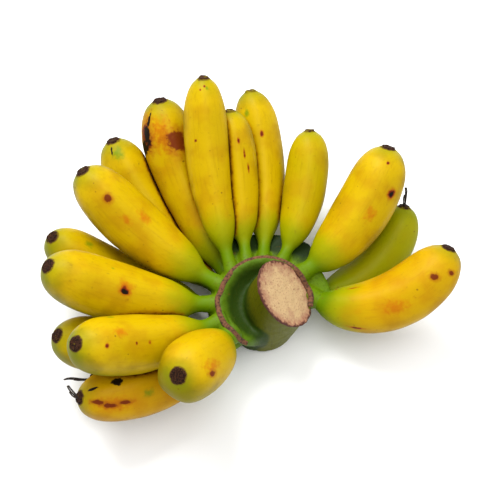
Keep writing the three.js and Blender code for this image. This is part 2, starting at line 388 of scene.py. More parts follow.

# %% [markdown]
# Ripe bananas carry marks that tell their story: dark bruises, soft orange blushes, reddish
# brown stains, cracked black scars, and green smudges that never ripened. Each mark is listed:
# its kind, its share of the way to the tip, its angle from the top of the fruit in degrees, and
# its size along and across the fruit in millimetres.

# %% Marks, listed one by one
MARK_KINDS = ("blush", "bruise", "stain", "scar", "smudge")
FAR_FROM_MARKS = -3.0  # the value where there is no mark near
MARKS = {
    "upper_01": (("blush", 0.73, -45, 22, 12), ("stain", 0.76, -58, 7, 4)),
    "upper_02": (
        ("bruise", 0.54, -22, 2.6, 2.4), ("bruise", 0.64, -22, 2, 2), ("bruise", 0.85, -26, 3, 3),
        ("blush", 0.75, 2, 16, 8), ("smudge", 0.72, 54, 9, 5),
    ),
    "upper_03": (
        ("blush", 0.55, -10, 18, 14), ("bruise", 0.55, -16, 9, 6), ("scar", 0.55, -18, 6, 3.5),
        ("smudge", 0.64, 26, 4, 3),
    ),
    "upper_04": (
        ("stain", 0.8, -14, 7, 5), ("blush", 0.56, 10, 20, 8), ("blush", 0.63, -18, 14, 7),
    ),
    "upper_05": (
        ("bruise", 0.96, 6, 2, 1.6), ("bruise", 0.94, -14, 1.6, 1.4), ("bruise", 0.67, -30, 2, 2),
        ("smudge", 0.95, 16, 5, 3),
    ),
    "upper_06": (
        ("bruise", 0.79, 14, 5, 1.8), ("bruise", 0.69, 26, 7, 1.5), ("bruise", 0.59, 34, 7, 1.5),
    ),
    "upper_07": (("bruise", 0.73, 6, 6, 2.6), ("smudge", 0.87, -30, 11, 5)),
    "upper_09": (
        ("bruise", 0.71, 46, 8, 5.5), ("scar", 0.71, 47, 5, 2.8), ("bruise", 0.89, 14, 2.6, 2),
        ("blush", 0.54, 26, 18, 10),
    ),
    "upper_10": (
        ("stain", 0.79, 18, 5, 6), ("stain", 0.86, 46, 3.5, 4), ("bruise", 0.24, -38, 13, 1.3),
        ("bruise", 0.26, 70, 12, 1.6), ("bruise", 0.1, -54, 2, 2), ("blush", 0.5, 30, 26, 14),
    ),
    "lower_01": (
        ("stain", 0.9, -34, 9, 3), ("stain", 0.83, -42, 11, 3), ("stain", 0.74, -38, 10, 3),
        ("scar", 0.77, 10, 8, 5), ("smudge", 0.59, -30, 12, 6), ("scar", 0.93, 10, 8, 1.8),
        ("blush", 0.8, -40, 34, 14),
    ),
    "lower_04": (("smudge", 0.81, 22, 10, 7),),
    "lower_05": (("scar", 0.95, -30, 8, 1.4), ("smudge", 0.93, -10, 16, 12)),
    "lower_06": (
        ("stain", 0.77, 12, 19, 16), ("blush", 0.82, -20, 36, 20), ("scar", 0.9, -50, 14, 1.6),
        ("scar", 0.83, -56, 16, 6), ("scar", 0.76, -72, 11, 9), ("stain", 0.82, -60, 24, 10),
    ),
}
# How ripe each fruit is: below zero is greener, above zero more orange.
TINTS = {
    "upper_04": 0.25, "upper_05": -0.1, "upper_06": 0.1, "upper_07": -0.1,
    "upper_08": -0.5, "upper_09": 0.2, "upper_10": 0.5, "upper_01": 0.3,
    "lower_01": 0.6, "lower_04": -0.2, "lower_05": 0.2, "lower_06": 0.35,
    "lower_07": -0.9,
}


def mark_field(kind, name):
    """1 at a mark's centre, 0 at its edge, and less outside."""
    known = facts[name]
    field = np.full(len(known["share"]), FAR_FROM_MARKS)
    for mark_kind, share, degrees, long, wide in MARKS.get(place_of(name), ()):
        if mark_kind == kind:
            turn = (known["angle"] - math.radians(degrees) + np.pi) % (2 * np.pi) - np.pi
            along = (known["share"] - share) * known["length"].max() / (long / 2 * MM)
            across = turn * known["radius"] / (wide / 2 * MM)
            field = np.maximum(field, 1 - np.hypot(along, across))
    return field


for order, name in enumerate(FRUITS):
    known, mesh = facts[name], skins[name].data
    for kind in MARK_KINDS:
        store(mesh, kind, mark_field(kind, name))
    unrolled = (
        known["radius"] * np.cos(known["angle"]) + order,
        known["radius"] * np.sin(known["angle"]),
        known["length"],
    )
    store(mesh, "unrolled", np.stack(unrolled, 1))
    store(mesh, "share", known["share"])
    # How far round towards the underside a point is: the peel paints olive there, partly a greener
    # skin and partly painted shade.
    store(mesh, "under", (1 - np.cos(known["angle"])) / 2)
    store(mesh, "scab", known["scab"])
    store(mesh, "rub_and_contact_shade", rubs_and_contact_shades[name])
    store(mesh, "tint", np.full(len(known["share"]), TINTS.get(place_of(name), 0.0)))

# %% [markdown]
# ## The crown
#
# The crown is tough, fibrous tissue, and the stalks flow into it with soft webs between them.
# Its plain solid has creases where the cones of the stalks meet the cushion. Remeshing it into
# even little squares and then relaxing them melts the creases into webs. Points near the two
# cuts are held, because a cut is crisp. Two things are added before that: a short sleeve round
# the start of every stalk, so that the relaxed crown laps over it, and the web itself, a low
# wall that joins the stalks under their tops. Behind the stem the wall reaches further out and
# is coloured almost black, a dark sheet of painted shade in the gaps between the stalks.

# %% The two cuts, and the axis that the stalks stand round
def cut_plane(node_name, lowest, highest):
    """(point, normal) of the largest flat face whose normal's z lies between two values."""
    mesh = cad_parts[node_name].data
    groups = {}
    for face in mesh.polygons:
        if lowest < face.normal.z < highest:
            key = tuple(round(c, 2) for c in face.normal)
            groups.setdefault(key, []).append(face)
    flat = max(groups.values(), key=lambda group: sum(face.area for face in group))
    weight = sum(face.area for face in flat)
    middle = sum((face.center * face.area for face in flat), Vector()) / weight
    return np.array(middle), unit(np.array(flat[0].normal))


cut_middle, cut_normal = cut_plane(CROWN, 0.4, 0.9)
base_middle, base_normal = cut_plane(CROWN, -1.01, -0.99)
stem_axis = unit(cut_middle - base_middle)
seams = {name: rings[name][0].mean(0) for name in FRUITS}
seam_places = np.array(list(seams.values()))[:, :2]
# The circle that passes nearest to where the stalks start, by least squares.
of_circle = np.column_stack((2 * seam_places, np.ones(len(seam_places))))
crown_axis = np.linalg.lstsq(of_circle, (seam_places**2).sum(1), rcond=None)[0][:2]
print("crown axis in mm:", np.round(crown_axis / MM, 1))

# %% Sleeves and webs
# A sleeve's sections: mm along the stalk, and share of the stalk's radius.
SLEEVE = ((-8, 1.3), (-4, 1.16), (0, 1.03), (2, 0.95), (5, 0.8))
WEB_SECTIONS = 60
WEB_INSIDE, WEB_OUTSIDE = 24 * MM, 36.5 * MM  # from the crown's axis
# Behind the stem the web is partly real webbing and partly a dark sheet that fills the gaps between
# the stalks with painted shade.
WEB_REACH = 19 * MM  # how much further out the web goes behind the stem, and half that at the right
WEB_BOTTOM = 14 * MM
# Stretches round the crown, in degrees from +X: between which two values each side fades in.
BEHIND_STEM = ((130, 112), (42, 56))
AT_RIGHT = ((48, 38), (5, 13))


def add_tube(solid, sections):
    """Joins equal rows of points into one tube with closed ends."""
    loops = [[solid.verts.new(point) for point in section] for section in sections]
    for near, far in zip(loops, loops[1:]):
        for i in range(len(near)):
            j = (i + 1) % len(near)
            solid.faces.new((near[i], near[j], far[j], far[i]))
    solid.faces.new(loops[0][::-1])
    solid.faces.new(loops[-1])


def sleeve_sections(name):
    """Widening copies of a stalk's first ring, from its start into the crown."""
    ring_grid = rings[name]
    centre = seams[name]
    way = unit(ring_grid[1].mean(0) - centre)
    return [centre + (ring_grid[0] - centre) * share + way * along * MM for along, share in SLEEVE]


def turn_of(points):
    """Degrees round the crown's axis from +X, from -60 to 300."""
    turns = np.degrees(np.arctan2(points[:, 1] - crown_axis[1], points[:, 0] - crown_axis[0]))
    return (turns + 60) % 360 - 60


upper_seams = np.array([seams[name] for name in FRUITS if "upper" in name])
upper_seams = upper_seams[np.argsort(turn_of(upper_seams))]
upper_turns = turn_of(upper_seams)


def level_way(degrees):
    """The level direction at a turn round the crown."""
    turn = math.radians(degrees)
    return np.array((math.cos(turn), math.sin(turn)))


def within(stretch, turns):
    """1 inside a stretch round the crown, and 0 outside it."""
    return smoothstep(*stretch[0], turns) * smoothstep(*stretch[1], turns)


def web_sections():
    """Sections of the wall between the upper stalks, from the first round to the last."""
    sections = []
    for degrees in np.linspace(upper_turns[0], upper_turns[-1], WEB_SECTIONS):
        top = np.interp(degrees, upper_turns, upper_seams[:, 2])
        behind = within(BEHIND_STEM, degrees)
        outside = WEB_OUTSIDE + WEB_REACH * behind + WEB_REACH / 2 * within(AT_RIGHT, degrees)
        corners = (
            # from the axis, and above the surface
            (WEB_INSIDE, WEB_BOTTOM),
            (outside, top - 12 * MM),
            (outside - 1.5 * MM, top - (2 + 3 * behind) * MM),
            (WEB_INSIDE, top + 1 * MM),
        )
        way = level_way(degrees)
        sections.append([(*(crown_axis + way * radius), height) for radius, height in corners])
    return sections


# %% The crown's skin
VOXEL = 0.8 * MM
RELAX_ROUNDS = 26
STEP_IN, STEP_BACK = 0.55, -0.45  # a step back keeps the relaxing from shrinking the shape
# Where no fruit grows, the cushion runs out smoothly into the stem.
OPEN_SIDE = ((238, 256), (-12, -30))
OPEN_SIDE_ROUNDS, OPEN_SIDE_STEP = 70, 0.3
CUT_HELD, CUT_FREE = 0.5 * MM, 3 * MM  # points are held this near a cut, and free this far from it


def keep_result(made):
    """Makes what an object's modifiers give into its own plain mesh."""
    depsgraph = bpy.context.evaluated_depsgraph_get()
    plain = bpy.data.meshes.new_from_object(made.evaluated_get(depsgraph))
    made.modifiers.clear()
    made.data = plain
    return made


def relaxed(points, edges, hold, rounds, back=STEP_BACK):
    """Moves each point to the middle of its neighbours and back by two steps, round by round."""
    count = len(points)
    links = np.bincount(edges.ravel(), minlength=count)[:, None]
    for i in range(2 * rounds):
        total = np.zeros_like(points)
        for axis in range(3):
            total[:, axis] += np.bincount(edges[:, 0], points[edges[:, 1], axis], count)
            total[:, axis] += np.bincount(edges[:, 1], points[edges[:, 0], axis], count)
        step = STEP_IN if i % 2 == 0 else back
        points = points + (total / np.maximum(links, 1) - points) * step * hold[:, None]
    return points


def crown_skin():
    """The crown with its sleeves and webs as one soft skin."""
    solid = merged_copy(CROWN)
    for name in FRUITS:
        add_tube(solid, sleeve_sections(name))
    add_tube(solid, web_sections())
    bmesh.ops.recalc_face_normals(solid, faces=solid.faces)
    rough = bpy.data.meshes.new("crown_rough")
    solid.to_mesh(rough)
    solid.free()
    made = new_object("crown_skin", rough)
    remesh = made.modifiers.new("even_squares", "REMESH")
    remesh.mode, remesh.voxel_size = "VOXEL", VOXEL
    fine = keep_result(made).data
    points = np.array([v.co for v in fine.vertices])
    edges = np.array([e.vertices for e in fine.edges])
    from_cut = np.abs((points - cut_middle) @ cut_normal)
    from_base = np.abs((points - base_middle) @ base_normal)
    hold = smoothstep(CUT_HELD, CUT_FREE, np.minimum(from_cut, from_base)) * 0.9 + 0.1
    points = relaxed(points, edges, hold, RELAX_ROUNDS)
    turns = turn_of(points)
    open_side = np.maximum(smoothstep(*OPEN_SIDE[0], turns), smoothstep(*OPEN_SIDE[1], turns))
    points = relaxed(points, edges, hold * open_side, OPEN_SIDE_ROUNDS, OPEN_SIDE_STEP)
    fine.vertices.foreach_set("co", points.astype(np.float32).ravel())
    fine.shade_smooth()
    fine.update()
    return made


crown = crown_skin()
crown_points = np.array([v.co for v in crown.data.vertices])
crown_tree = search_tree(crown.data)
print("faces in the crown's skin:", len(crown.data.polygons))

# %% Where on the crown each point is
RIM_RADIUS = 29.3 * MM
STEM_RADIUS = 20 * MM

from_axis = np.hypot(*(crown_points[:, :2] - crown_axis).T)
rise = crown_points - base_middle
from_stem = np.linalg.norm(rise - (rise @ stem_axis)[:, None] * stem_axis, axis=1)
on_stem = 1 - smoothstep(STEM_RADIUS + 0.3 * MM, STEM_RADIUS + 2.5 * MM, from_stem)
crown_turns = turn_of(crown_points)
web_tops = np.interp(crown_turns, upper_turns, upper_seams[:, 2])
# Painted shade: how far a point lies below the stalks' tops behind the stem, outside the rim; the
# crown paints it almost black.
sunk_web_shade = smoothstep(0, 4 * MM, web_tops - crown_points[:, 2]) * within(BEHIND_STEM, crown_turns)
sunk_web_shade *= smoothstep(RIM_RADIUS - 1 * MM, RIM_RADIUS + 1 * MM, from_axis)
store(crown.data, "sunk_web_shade", sunk_web_shade)
store(crown.data, "on_stem", on_stem)
store(crown.data, "past_rim", (from_axis - RIM_RADIUS) / MM)
store(crown.data, "along_stem", np.stack((rise @ stem_axis, *(rise[:, :2].T)), 1))

# %% [markdown]
# ## The cut end of the stem
#
# A knife leaves a slanted oval. Its rim dries first and curls over, dark reddish brown and
# ragged; the middle stays pale tan, with the cut ends of the fibre bundles showing as small
# dots. The face is a round grid laid on the cut, so each point knows how far it is from the
# rim. The stem is round, so the oval follows from its radius and the slant of the cut.

# %% The cut face
CUT_SPOKES = 120
CUT_RINGS = (0.0, 0.1, 0.2, 0.3, 0.4, 0.5, 0.6, 0.7, 0.78, 0.85, 0.91, 0.96, 1.0, 1.03, 1.03, 0.98)
FACE_OUT, FACE_WAVES = 0.35 * MM, 0.25 * MM  # how far the face stands out, and its waves
RIM_OUT, RIM_SWAY = 0.5 * MM, 0.5 * MM  # how far the dried rim stands out, and sways
UNDER_RIM, ROOTED = -0.3 * MM, -1.2 * MM  # the last two rings turn down into the stem
PAST_RIM = 1.05  # what the rings outside the rim store as their share

cut_height = (cut_middle - base_middle) @ cut_normal
stem_foot = base_middle + stem_axis * cut_height / (stem_axis @ cut_normal)
cut_right = unit(np.cross((0, 1, 0), cut_normal))
cut_up = np.cross(cut_normal, cut_right)


def cut_point(turn, share):
    """(place, outward way) of a point on the cut, at a share of the way to its rim."""
    way = cut_right * math.cos(turn) + cut_up * math.sin(turn)
    reach = STEM_RADIUS / np.linalg.norm(way - (way @ stem_axis) * stem_axis)
    return stem_foot + way * reach * share, way


def cut_face():
    """The dry face of the cut with its curled rim. Its points store their share of the way out."""
    points, distances = [], []
    for ring_number, share in enumerate(CUT_RINGS):
        for k in range(CUT_SPOKES):
            flat, way = cut_point(2 * np.pi * k / CUT_SPOKES, share)
            place = Vector(flat)
            rough = noise.noise(place / (5 * MM)) + 0.5 * noise.noise(place / (1.6 * MM))
            curl = noise.noise(place / (3 * MM) + Vector((5, 5, 5)))
            height = FACE_OUT + FACE_WAVES * rough * min(1, 1.6 * (1 - share) + 0.3)
            height += RIM_OUT * (1 + 0.8 * curl) * smoothstep(0.86, 0.97, share)
            if ring_number == len(CUT_RINGS) - 2:
                height = UNDER_RIM
            if ring_number == len(CUT_RINGS) - 1:
                height = ROOTED * (1 + 0.5 * curl)
            sway = RIM_SWAY * curl * smoothstep(0.9, 1, share)
            points.append(flat + way * sway + cut_normal * height)
            distances.append(share if ring_number < len(CUT_RINGS) - 3 else PAST_RIM)
    faces = []
    for i in range(len(CUT_RINGS) - 1):
        for k in range(CUT_SPOKES):
            a, b = i * CUT_SPOKES + k, i * CUT_SPOKES + (k + 1) % CUT_SPOKES
            faces.append((a, a + CUT_SPOKES, b + CUT_SPOKES, b))
    made = mesh_object("cut_face", points, faces)
    solid = bmesh.new()
    solid.from_mesh(made.data)
    solid.verts.ensure_lookup_table()
    bmesh.ops.pointmerge(solid, verts=solid.verts[:CUT_SPOKES], merge_co=solid.verts[0].co)
    solid.to_mesh(made.data)
    solid.free()
    made.data.shade_smooth()
    store(made.data, "from_middle", np.concatenate(((0,), distances[CUT_SPOKES:])))
    return made


cut = cut_face()
print("faces in the cut face:", len(cut.data.polygons))

# %% [markdown]
# ## What grows along a line
#
# Two things on a hand are thin strands: the scar of the leaf that once covered the flowers,
# which runs round the crown's rim as a corky brown line, and the dried threads of flowers that
# still hang on some tips. Both are a path with an oval swept along it, thinner in places and
# tapering towards the far end. One Geometry Nodes tree does this from named sizes. It could be
# a curve with a bevel, but that has no ragged edge that the size of its lumps controls.

# %% The strand tree
STRAND_STEP = 0.4 * MM  # between the sections of a strand


def new_tree(name, sizes):
    """A Geometry Nodes tree that takes a shape and some sizes, and those inputs as sockets."""
    tree = bpy.data.node_groups.new(name, "GeometryNodeTree")
    tree.interface.new_socket("Geometry", in_out="INPUT", socket_type="NodeSocketGeometry")
    for size in sizes:
        tree.interface.new_socket(size, in_out="INPUT", socket_type="NodeSocketFloat")
    tree.interface.new_socket("Geometry", in_out="OUTPUT", socket_type="NodeSocketGeometry")
    return tree, add_node(tree, "NodeGroupInput").outputs


def end_tree(tree, shape, material):
    """Makes the shape real, smooth and of one material, and gives it out."""
    real = add_node(tree, "GeometryNodeRealizeInstances", Geometry=shape)
    smooth = add_node(tree, "GeometryNodeSetShadeSmooth", Geometry=real)
    finished = add_node(tree, "GeometryNodeSetMaterial", Geometry=smooth, Material=material)
    add_node(tree, "NodeGroupOutput", Geometry=finished)
    return tree


def strand_tree(material):
    """Sweeps an oval along a path, with a ragged girth that tapers."""
    sizes = ("Width", "Thickness", "Ragged", "Lump Size", "Taper")
    tree, given = new_tree("strand_of_" + material.name, sizes)
    line = add_node(tree, "GeometryNodeMeshToCurve", i0=given["Geometry"])
    steps = {"Curve": line, "Length": STRAND_STEP}
    even = add_node(tree, "GeometryNodeResampleCurve", {"mode": "LENGTH"}, **steps)
    along = add_node(tree, "GeometryNodeSplineParameter").outputs["Factor"]
    place = add_node(tree, "GeometryNodeInputPosition")
    scale = add_node(tree, MATH, {"operation": "DIVIDE"}, i0=1.0, i1=given["Lump Size"])
    lumps = add_node(tree, NOISE, Vector=place, Scale=scale, Detail=2.0)
    centred = add_node(tree, MATH, TIMES_PLUS, i0=lumps, i1=2.0, i2=-1.0)
    uneven = add_node(tree, MATH, TIMES_PLUS, i0=centred, i1=given["Ragged"], i2=1.0)
    thinning = add_node(tree, MATH, TIMES, i0=along, i1=given["Taper"])
    left = add_node(tree, MATH, MINUS, i0=1.0, i1=thinning)
    girth = add_node(tree, MATH, TIMES, i0=uneven, i1=left)
    sized = add_node(tree, "GeometryNodeSetCurveRadius", Curve=even, Radius=girth)
    upright = add_node(tree, "GeometryNodeSetCurveNormal", {"mode": "Z_UP"}, Curve=sized)
    circle = add_node(tree, "GeometryNodeCurvePrimitiveCircle", Resolution=10, Radius=0.5)
    flat = add_node(tree, "ShaderNodeCombineXYZ", X=given["Width"], Y=given["Thickness"], Z=1.0)
    oval = add_node(tree, "GeometryNodeTransform", Geometry=circle, Scale=flat)
    swept = add_node(tree, "GeometryNodeCurveToMesh", Curve=upright, Profile_Curve=oval)
    swept.inputs["Fill Caps"].default_value = True
    return end_tree(tree, swept, material)


def made_plain(made, tree, **sizes):
    """Runs a tree on an object with the sizes given, and keeps the result as a plain mesh."""
    modifier = made.modifiers.new("grow", "NODES")
    modifier.node_group = tree
    for item in tree.interface.items_tree:
        key = item.name.lower().replace(" ", "_")
        if item.in_out == "INPUT" and key in sizes:
            modifier[item.identifier] = sizes[key]
    return keep_result(made)


def path_object(name, paths):
    """An object of bare edges, one chain for each path."""
    points, edges = [], []
    for path in paths:
        first = len(points)
        points += [tuple(point) for point in path]
        edges += [(first + i, first + i + 1) for i in range(len(path) - 1)]
    mesh = bpy.data.meshes.new(name)
    mesh.from_pydata(points, edges, [])
    return new_object(name, mesh)


# %% The leaf scar round the crown
SCAR_FROM, SCAR_TO = 246, -3  # degrees round the crown, where fruits grow
SCAR_RADII = np.arange(30.0, 27.4, -0.3) * MM  # where its crest is looked for, from outside in
RAY_START = 40 * MM  # above the cut
CREST_DEPTH = 0.8 * MM  # the crest's outer edge lies no lower than this below its top
SCAR_SMOOTHINGS = 4
scar_material = bpy.data.materials.new("corky_leaf_scar")
scar_tree = strand_tree(scar_material)


def rim_crest(degrees):
    """The outermost point on the top of the crown's rim, at a turn round its axis."""
    tops = []
    for radius in SCAR_RADII:
        start = (*(crown_axis + level_way(degrees) * radius), cut_middle[2] + RAY_START)
        hit = crown_tree.ray_cast(Vector(start), Vector((0, 0, -1)))[0]
        if hit is not None:
            tops.append(hit)
    highest = max(top.z for top in tops)
    return next(np.array(top) for top in tops if top.z > highest - CREST_DEPTH)


scar_path = np.array([rim_crest(degrees) for degrees in range(SCAR_FROM, SCAR_TO, -2)])
for _ in range(SCAR_SMOOTHINGS):
    scar_path[1:-1] = (scar_path[:-2] + 2 * scar_path[1:-1] + scar_path[2:]) / 4
scar = made_plain(
    path_object("leaf_scar", [scar_path]),
    scar_tree, width=3.6 * MM, thickness=1.8 * MM, ragged=0.7, lump_size=5 * MM, taper=0.5,
)
print("faces in the leaf scar:", len(scar.data.polygons))

# %% [markdown]
# The dried flowers are a few black threads, some bent and forked, that stand on the tip of a
# fruit. Each thread here starts at the end of its plain solid that is nearest the fruit and
# runs along that solid, with its own bends on top.

# %% Dried flower threads
thread_material = bpy.data.materials.new("dried_flower_thread")
thread_tree = strand_tree(thread_material)
# For each thread: how far along the plain solid it starts and ends, and how it bows, in mm.
THREADS = (
    (0.0, 1.0, (0.0, 0.0, 0.0)),
    (0.05, 0.8, (0.9, 0.6, 0.5)),
    (0.0, 0.5, (-1.1, -0.4, 0.6)),
)
THREAD_STEPS = 14


def flower_line(node_name):
    """The middle line of a flower's plain solid, from the end at the fruit to the free end."""
    solid = merged_copy(node_name)
    points = np.array([v.co for v in solid.verts])
    solid.free()
    fruit_tip = tips[node_name.replace("dried_flower", "fruit")]
    points = points[np.argsort(np.linalg.norm(points - fruit_tip, axis=1))]
    parts = np.array_split(points, 4)
    root = fruit_tip * 0.8 + points[:4].mean(0) * 0.2
    return np.array([root, *(part.mean(0) for part in parts), points[-4:].mean(0)])


def flower_threads(node_name):
    """The dried threads of one flower, as one plain mesh."""
    middles = flower_line(node_name)
    knots = np.linspace(0, 1, len(middles))
    paths = []
    for start, end, bow in THREADS:
        at = np.linspace(start, end, THREAD_STEPS)
        bowed = np.sin(np.linspace(0, np.pi * 0.8, THREAD_STEPS))[:, None] * np.array(bow) * MM
        paths.append(spline(knots, middles, at) + bowed)
    return made_plain(
        path_object(node_name + "_threads", paths),
        thread_tree, width=0.9 * MM, thickness=1.1 * MM, ragged=0.9, lump_size=1.5 * MM, taper=0.6,
    )


flowers = {name: flower_threads(name) for name in FLOWERS}
print("faces in the dried flowers:", sum(len(flower.data.polygons) for flower in flowers.values()))

# %% [markdown]
# ## Fibre bundles in the cut
#
# The stem is full of fibre bundles, and a cut shows each as a small raised dot with a darker
# ring. There are a few hundred, so a tree scatters them: points spread evenly on the face, one
# low dome on each, made real so that an export keeps them.

# %% The scatter tree
BUNDLE_SPACING, BUNDLE_RADIUS = 1.5 * MM, 0.42 * MM
BUNDLE_FLATNESS = (1, 1, 0.45)
BUNDLES_PER_METRE2 = 900000.0  # more than fit, so that the spacing decides
DRY_RIM_FROM = 0.9  # no bundle shows past this share of the way to the rim


def scatter_tree(material):
    """Spreads low domes over a face, at least a spacing apart."""
    tree, given = new_tree("fibre_bundles", ("Spacing", "Dot Size"))
    distance = add_node(tree, "GeometryNodeInputNamedAttribute", Name="from_middle")
    inside = add_node(
        tree, "FunctionNodeCompare", {"operation": "LESS_THAN"}, i0=distance, i1=DRY_RIM_FROM
    )
    spread = add_node(
        tree, "GeometryNodeDistributePointsOnFaces", {"distribute_method": "POISSON"},
        Mesh=given["Geometry"], Selection=inside, Distance_Min=given["Spacing"],
        Density_Max=BUNDLES_PER_METRE2, Seed=4,
    ).outputs
    size = add_node(tree, "FunctionNodeRandomValue", {"data_type": "FLOAT"}, i2=0.5, i3=1.2, Seed=9)
    dot = add_node(tree, "GeometryNodeMeshUVSphere", Segments=8, Rings=5, Radius=given["Dot Size"])
    low = add_node(tree, "GeometryNodeTransform", Geometry=dot, Scale=BUNDLE_FLATNESS)
    placed = add_node(
        tree, "GeometryNodeInstanceOnPoints", Points=spread["Points"], Instance=low,
        Rotation=spread["Rotation"], Scale=size.outputs[1],
    )
    return end_tree(tree, placed, material)


fibre_material = bpy.data.materials.new("cut_fibre_bundles")
bundles = new_object("fibre_bundles", cut.data.copy())
made_plain(bundles, scatter_tree(fibre_material), spacing=BUNDLE_SPACING, dot_size=BUNDLE_RADIUS)
print("faces in the fibre bundles:", len(bundles.data.polygons))

# %% [markdown]
# ## Ripe banana peel
#
# The peel is a smooth, waxy skin with a soft, broad shine. It is clear yellow on top, a little
# olive underneath, partly because the underside is greener and partly as painted shade, and
# green towards the stalk, where it ripens last. Fibres run along it as very faint streaks. Where
# fruits touch, the skin goes orange and then brown, partly as rub marks and partly as painted
# contact shade. So the material starts from one yellow and lays the other colours over it, each
# through a mask. The same few steps then finish the crown, whose green has to meet the stalks'
# green.

# %% Laying colour over colour
COLOUR_MIX = {"data_type": "RGBA"}
SMOOTH_RANGE = {"interpolation_type": "SMOOTHSTEP"}
STALK_GREEN, NECK_GREEN = "#587400", "#848E00"
WAX_IOR = 1.45


def new_material(material):
    """Empties a material's tree, and gives it with its Object coordinates."""
    material.use_nodes = True
    tree = material.node_tree
    tree.nodes.clear()
    return tree, add_node(tree, "ShaderNodeTexCoord").outputs["Object"]


def grain(tree, place, size, detail):
    """Noise at a place, with lumps of a size in mm."""
    return add_node(tree, NOISE, Vector=place, Scale=1 / (size * MM), Detail=detail)


def facts_for(tree, names):
    """The numbers that a piece's points store under some names, for its material."""
    nodes = {name: add_node(tree, ATTRIBUTE, {"attribute_name": name}) for name in names}
    return {name: node.outputs["Fac"] for name, node in nodes.items()}


def painted(tree, ground, layers):
    """Lays each layer over the ground colour, and gives the colour that results."""
    base = linear(ground)
    for title, colour, value, edge_noise, shift, low, high, strength in layers:
        if edge_noise:
            centred = add_node(tree, MATH, MINUS, i0=edge_noise, i1=0.5)
            value = add_node(tree, MATH, TIMES_PLUS, i0=centred, i1=shift, i2=value)
        ends = {"From_Min": low, "From_Max": high, "To_Max": strength}
        amount = add_node(tree, RANGE, SMOOTH_RANGE, Value=value, **ends)
        mix = add_node(tree, "ShaderNodeMix", COLOUR_MIX, i0=amount, i6=base, i7=linear(colour))
        mix.label = title
        base = mix.outputs[2]
    return base


def end_material(tree, colour, roughness, height, depth, strength, **sockets):
    """Relief as deep as given, in metres, and one shader with the colour and the roughness."""
    bump = add_node(tree, "ShaderNodeBump", Height=height, Distance=depth, Strength=strength)
    sockets |= {"Base_Color": colour, "Roughness": roughness, "Normal": bump}
    shader = add_node(tree, "ShaderNodeBsdfPrincipled", **sockets)
    add_node(tree, "ShaderNodeOutputMaterial", Surface=shader)


# %% Peel: the masks
PEEL_FACTS = ("share", "under", "scab", "rub_and_contact_shade", "tint", *MARK_KINDS)
peel = bpy.data.materials.new("ripe_banana_peel")
tree, place = new_material(peel)
fact = facts_for(tree, PEEL_FACTS)
unrolled = add_node(tree, ATTRIBUTE, {"attribute_name": "unrolled"}).outputs["Vector"]
stretched = add_node(tree, "ShaderNodeMapping", Vector=unrolled, Scale=(1, 1, 0.06))
mottle = grain(tree, place, 16, 3.0)
ragged = grain(tree, place, 3, 4.0)
grit = grain(tree, place, 0.8, 2.0)
streak = grain(tree, stretched, 1.6, 3.0)
cells = add_node(tree, "ShaderNodeTexVoronoi", Vector=unrolled, Scale=1 / (7 * MM))
patches = grain(tree, place, 30, 1.0)
freckle = add_node(tree, MATH, TIMES_PLUS, i0=patches, i1=-0.35, i2=cells.outputs["Distance"])

# %% Peel: its layers, from the skin up
# Each layer: name, colour, what decides it, the noise that roughens its edge and how far,
# the values between which it fades in, and how strong it gets.
PEEL_LAYERS = (
    ("deep yellow", "#AA7E00", mottle, None, 0, 0.42, 0.7, 0.6),
    ("fibre streaks", "#9E7C00", streak, None, 0, 0.5, 0.75, 0.35),
    # Painted shade: the underside of each fruit turns olive, partly a greener skin and partly shade
    # painted into the colour.
    ("olive underside and painted shade", "#5E6400", fact["under"], mottle, 0.7, 0.15, 0.8, 0.8),
    ("greener fruit", "#7E8800", fact["tint"], mottle, 0.3, -0.15, -1.15, 0.9),
    ("riper fruit", "#B87000", fact["tint"], mottle, 0.3, 0.15, 1.15, 0.9),
    ("green neck", NECK_GREEN, fact["share"], mottle, 0.14, 0.34, 0.14, 0.85),
    ("green stalk", STALK_GREEN, fact["share"], mottle, 0.06, 0.17, 0.03, 1.0),
    ("green tip", "#707A00", fact["share"], mottle, 0.12, 0.86, 1.02, 0.65),
    ("freckles", "#6A4A08", freckle, None, 0, -0.11, -0.16, 0.7),
    # Painted contact shade: orange, then a dark brown line where fruits touch, partly real rub
    # marks and partly shade painted into the colour.
    ("rub blush and painted contact shade", "#A06000", fact["rub_and_contact_shade"], ragged, 0.5, 0.35, 0.75, 0.6),
    ("rub line and painted contact shadow", "#4E2206", fact["rub_and_contact_shade"], ragged, 0.4, 0.6, 0.86, 0.9),
    ("smudge", "#5A7A08", fact["smudge"], ragged, 1.4, 0.0, 0.9, 0.75),
    ("blush", "#B06000", fact["blush"], ragged, 1.6, 0.0, 0.9, 0.75),
    ("bruise halo", "#A04A04", fact["bruise"], ragged, 1.0, -0.5, 0.3, 0.75),
    ("bruise", "#6A1C08", fact["bruise"], ragged, 1.4, 0.05, 0.45, 0.95),
    ("bruise heart", "#260E08", fact["bruise"], ragged, 1.6, 0.45, 0.9, 0.9),
    ("stain halo", "#9A5204", fact["stain"], ragged, 1.4, -0.8, 0.2, 0.65),
    ("stain", "#642006", fact["stain"], ragged, 1.2, 0.0, 0.35, 0.92),
    ("scar", "#170E08", fact["scar"], ragged, 2.0, -0.1, 0.3, 1.0),
    ("scab shadow", "#5E4A0A", fact["scab"], ragged, 1.0, 0.1, 0.5, 0.8),
    ("scab", "#3A2214", fact["scab"], ragged, 2.0, 0.5, 0.85, 1.0),
    ("scab heart", "#120A08", fact["scab"], grit, 1.6, 0.85, 1.15, 0.9),
)
colour = painted(tree, "#BA9A00", PEEL_LAYERS)

